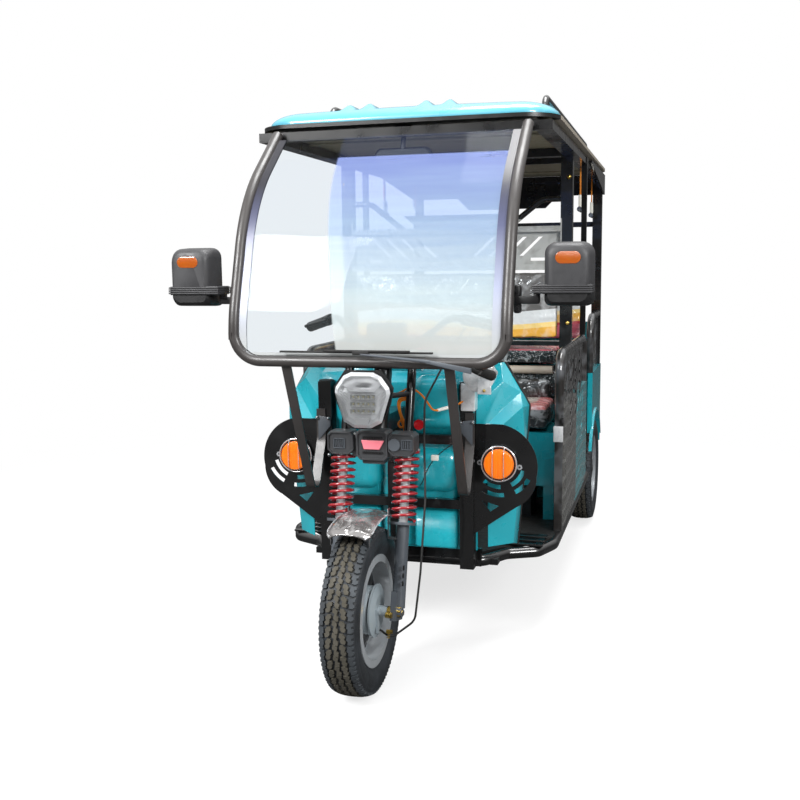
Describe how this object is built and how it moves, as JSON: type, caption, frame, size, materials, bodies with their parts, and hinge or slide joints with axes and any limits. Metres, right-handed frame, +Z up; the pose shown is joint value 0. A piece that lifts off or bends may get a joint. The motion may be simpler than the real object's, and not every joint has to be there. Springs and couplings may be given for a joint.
{
  "type": "auto rickshaw",
  "caption": "Electric passenger three-wheeler with a steered front fork, open cabin with facing benches, curved windscreen, hard roof and luggage rail.",
  "frame": {"origin": "on the ground, at the middle of the vehicle's length and width", "axes": "front faces -Y, +Y towards the tail, +X to the vehicle's left, +Z up"},
  "size_m": [1.3, 2.8109, 1.8539],
  "materials": {
    "teal_paint": "gloss",
    "black_paint": "gloss",
    "screen_frame_paint": "satin",
    "screen_glass": "clear, tinted at the top",
    "black_plastic": "fine grain",
    "mirror_plastic": "fine grain",
    "amber_lens": "clear coloured",
    "red_lens": "clear coloured",
    "clear_lens": "clear",
    "seat_cover": "coated cloth, wrapped in clear film",
    "floor_rubber": "ribbed mat",
    "battery_case": "moulded",
    "strap_webbing": "woven",
    "motor_casting": "painted",
    "fork_steel": "satin",
    "spring_red": "gloss",
    "brake_casting": "cast",
    "film_chrome": "bright",
    "tyre_rubber": "matt",
    "rim_alloy": "polished"
  },
  "bodies": {
    "chassis": {"chassis_frame": "black_paint", "floor_pan": "floor_rubber", "front_cowl": "teal_paint", "ear_plates": "black_paint", "indicator_lamps": "amber_lens", "windscreen_frame": "screen_frame_paint", "windscreen_glass": "screen_glass", "wiper": "black_plastic", "mirrors": "mirror_plastic", "seat_boxes": "teal_paint", "driver_cushions": "seat_cover", "passenger_cushions": "seat_cover", "battery_pack": "battery_case", "cabin_frame": "black_paint", "side_panels": "teal_paint", "side_guards": "black_paint", "rear_quarters": "teal_paint", "rear_panel": "teal_paint", "tail_lamps": "red_lens", "rear_hood": "black_paint", "roof_panel": "teal_paint", "roof_trim": "black_plastic", "roof_rack": "black_paint", "hand_straps": "strap_webbing", "rear_axle": "black_paint", "leaf_springs": "black_paint", "drive_motor": "motor_casting", "rear_bumper": "black_paint"},
    "fork": {"fork_legs": "fork_steel", "brake_plate": "brake_casting", "brake_cable": "black_plastic", "fork_springs": "spring_red", "fork_yoke": "fork_steel", "handlebar": "fork_steel", "instrument_pod": "black_plastic", "headlight_housing": "black_plastic", "headlight_lens": "clear_lens", "fork_trim": "black_plastic", "front_mudguard": "film_chrome"},
    "front_wheel": {"front_tyre": "tyre_rubber", "front_rim": "rim_alloy"},
    "rear_wheel_left": {"rear_tyre_left": "tyre_rubber", "rear_rim_left": "rim_alloy"},
    "rear_wheel_right": {"rear_tyre_right": "tyre_rubber", "rear_rim_right": "rim_alloy"}
  },
  "joints": [
    {"name": "steering", "type": "hinge", "parent": "chassis", "child": "fork", "pos_m": [0, -0.9735, 0.7], "axis": [0, 0.2588, 0.9659], "range_deg": [-38, 38]},
    {"name": "front_wheel_spin", "type": "hinge", "parent": "fork", "child": "front_wheel", "pos_m": [0, -1.1565, 0.249], "axis": [1, 0, 0], "continuous": true},
    {"name": "rear_wheel_left_spin", "type": "hinge", "parent": "chassis", "child": "rear_wheel_left", "pos_m": [0.438, 1.0615, 0.249], "axis": [1, 0, 0], "continuous": true},
    {"name": "rear_wheel_right_spin", "type": "hinge", "parent": "chassis", "child": "rear_wheel_right", "pos_m": [-0.438, 1.0615, 0.249], "axis": [1, 0, 0], "continuous": true}
  ]
}
